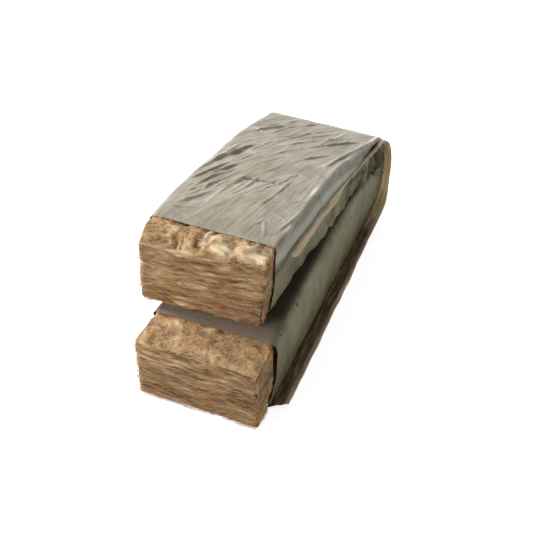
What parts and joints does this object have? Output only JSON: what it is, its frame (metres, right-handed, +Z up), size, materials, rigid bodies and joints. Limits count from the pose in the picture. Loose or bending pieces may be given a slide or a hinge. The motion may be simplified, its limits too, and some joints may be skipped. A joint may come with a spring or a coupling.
{
  "type": "poly-wrapped fiberglass batt",
  "caption": "Thick glass fibre insulation batt in a poly film wrap, folded once into a U, with bare fibre ends and a stapling flange along both edges.",
  "frame": {"origin": "centre of the bounding box, on the floor that the lower leg lies on", "axes": "+X across the batt, +Y along the legs from the open bare ends to the fold, +Z up from the lower leg to the upper leg"},
  "size_m": [0.483, 1.2884, 0.4376],
  "materials": {
    "glass_fibre": "golden brown layered glass fibre, matt",
    "facing_film": "warm grey polyethylene film, wrinkled, soft gloss",
    "perforated_film": "thin grey-green perforated polyethylene film, wrinkled"
  },
  "bodies": {
    "root": {"glass_fibre_blanket": "glass_fibre", "facing_film": "facing_film", "perforated_film": "perforated_film"}
  },
  "joints": []
}
